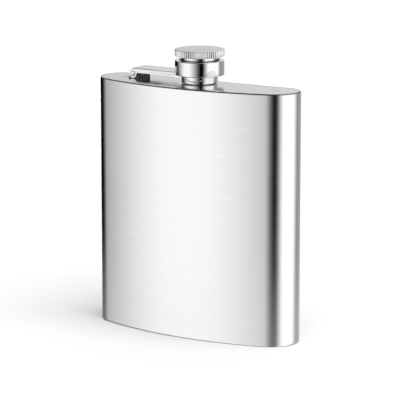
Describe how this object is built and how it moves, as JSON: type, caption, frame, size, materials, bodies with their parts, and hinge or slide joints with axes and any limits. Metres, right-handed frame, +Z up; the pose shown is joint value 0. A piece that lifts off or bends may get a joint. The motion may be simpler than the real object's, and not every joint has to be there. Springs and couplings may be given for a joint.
{
  "type": "hip flask",
  "caption": "Slim curved stainless steel hip flask with a knurled screw top held captive on a hinged arm.",
  "frame": {"origin": "on the base plane, below the middle of the whole object's plan box", "axes": "+Z up through the neck, -Y out of the bowed front, +X towards the end away from the hinge"},
  "size_m": [0.096, 0.0282, 0.1204],
  "materials": {
    "body_steel": "stainless sheet, fine brushing round the body",
    "plate_steel": "satin stainless sheet",
    "neck_steel": "turned stainless steel",
    "hinge_steel": "polished stainless steel",
    "arm_steel": "satin pressed stainless steel",
    "polished_steel": "mirror-polished stainless steel",
    "knob_steel": "turned stainless steel with a knurled rim",
    "gasket_polymer": "translucent white food-grade washer"
  },
  "bodies": {
    "flask": {"body_wrap": "body_steel", "base_plate": "plate_steel", "top_plate": "plate_steel", "neck": "neck_steel", "hinge_block": "hinge_steel", "hinge_pin": "hinge_steel"},
    "arm": {"hinge_arm": "arm_steel", "captive_ring": "polished_steel"},
    "cap_carrier": {"gasket": "gasket_polymer"},
    "cap": {"screw_cap": "polished_steel", "cap_stem": "polished_steel", "knurled_knob": "knob_steel"}
  },
  "joints": [
    {"name": "arm_swing", "type": "hinge", "parent": "flask", "child": "arm", "pos_m": [-0.0306, 0.0037, 0.1082], "axis": [0, -1, 0], "range_deg": [0, 120]},
    {"name": "cap_lift", "type": "slide", "parent": "arm", "child": "cap_carrier", "axis": [0, 0, 1], "range_m": [0, 0.00275]},
    {"name": "cap_turn", "type": "hinge", "parent": "cap_carrier", "child": "cap", "pos_m": [0, 0.0037, 0.112], "axis": [0, 0, 1], "range_deg": [0, 659]}
  ],
  "couplings": [
    {"joint": "cap_lift", "follows": "cap_turn", "m_per_rad": 0.00023873}
  ]
}
